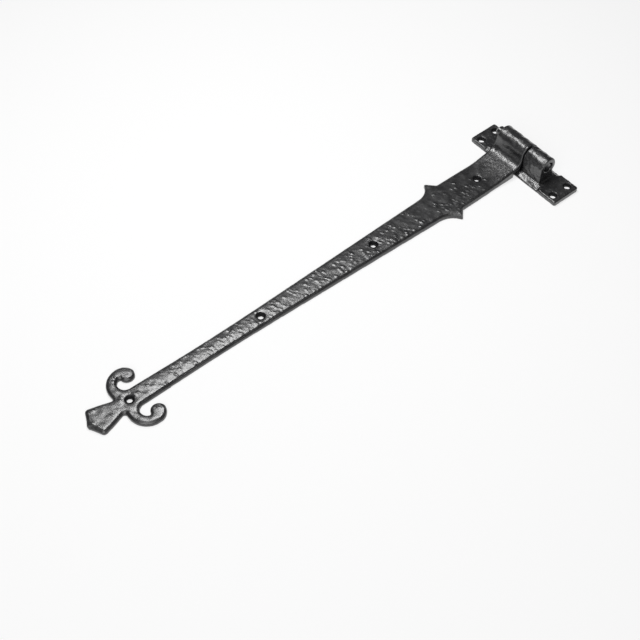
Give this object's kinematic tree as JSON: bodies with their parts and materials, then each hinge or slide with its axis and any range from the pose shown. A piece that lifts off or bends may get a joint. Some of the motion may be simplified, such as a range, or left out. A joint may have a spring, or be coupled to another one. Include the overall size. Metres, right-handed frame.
{
  "type": "decorative door hinge",
  "caption": "Black cast-iron lift-off strap hinge: long tapered strap with pointed barbs and a pierced fleur end, cranked to a knuckle that turns on the pin of a screwed back plate.",
  "frame": {"origin": "centre of the back plate's back face, which is the plane that goes against the door frame", "axes": "+X from the strap's tip to the back plate, +Y along the pin (up on a hung door), +Z out of the door's face; at rest the backs of the strap and of the plate both lie in Z = 0"},
  "size_m": [0.4726, 0.1054, 0.0279],
  "materials": {
    "strap_iron": "gloss black paint over a hammered casting",
    "plate_iron": "gloss black paint over a hammered casting",
    "pin_steel": "gloss black paint on a turned steel pin"
  },
  "bodies": {
    "plate": {"back_plate": "plate_iron", "hinge_pin": "pin_steel"},
    "strap": {"strap_leaf": "strap_iron"}
  },
  "joints": [
    {"name": "strap_swing", "type": "hinge", "parent": "plate", "child": "strap", "pos_m": [0, 0, 0.019], "axis": [0, 1, 0], "range_deg": [0, 180]}
  ]
}
